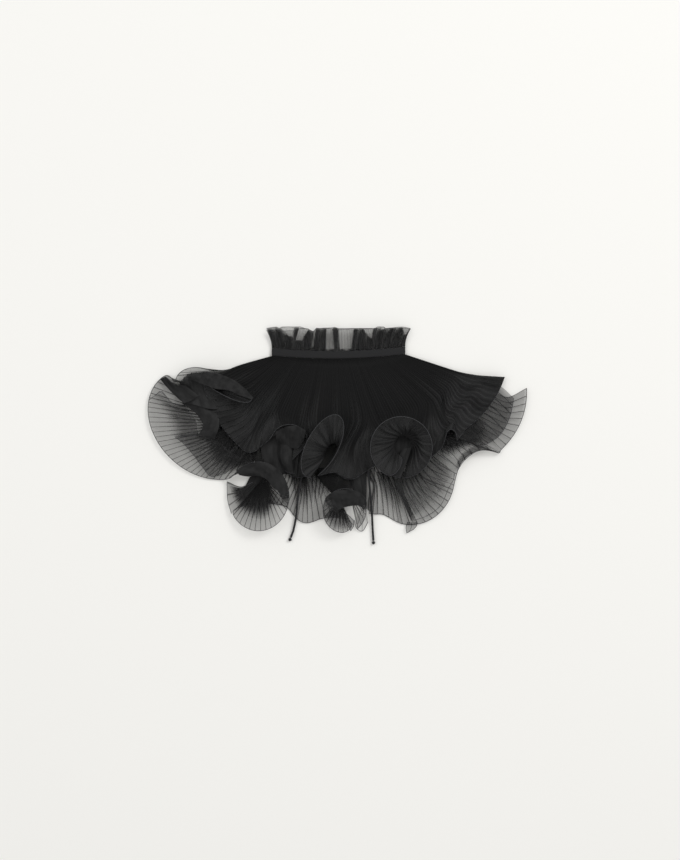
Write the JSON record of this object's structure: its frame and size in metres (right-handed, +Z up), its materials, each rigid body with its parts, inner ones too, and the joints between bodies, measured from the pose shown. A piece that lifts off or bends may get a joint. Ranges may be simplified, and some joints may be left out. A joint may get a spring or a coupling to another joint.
{
  "type": "pleated collar",
  "caption": "Sheer black costume collar laid flat: a stand-up neck frill, a plain band and a wide knife-pleated cape in layers with a fluted hem, fastened by thin ties.",
  "frame": {"origin": "on the surface that the collar lies on, under the back layer of the cape, halfway between the neck band's ends and about 105 mm below the band", "axes": "+Y from the hem towards the neck, +Z up off the surface, +X to the right as seen from above with the neck at the top"},
  "size_m": [0.4991, 0.2866, 0.035],
  "materials": {
    "pleated_organza": "sheer woven, knife pleated, soft sheen",
    "satin_band": "plain closely woven, matte",
    "tie_cord": "narrow satin cord, soft sheen"
  },
  "bodies": {
    "root": {"cape_front": "pleated_organza", "cape_back_left": "pleated_organza", "cape_back_right": "pleated_organza", "frill_front": "pleated_organza", "frill_back": "pleated_organza", "band_front": "satin_band", "band_back": "satin_band", "tie_left": "tie_cord", "tie_right": "tie_cord", "knot_left": "tie_cord", "knot_right": "tie_cord"}
  },
  "joints": []
}
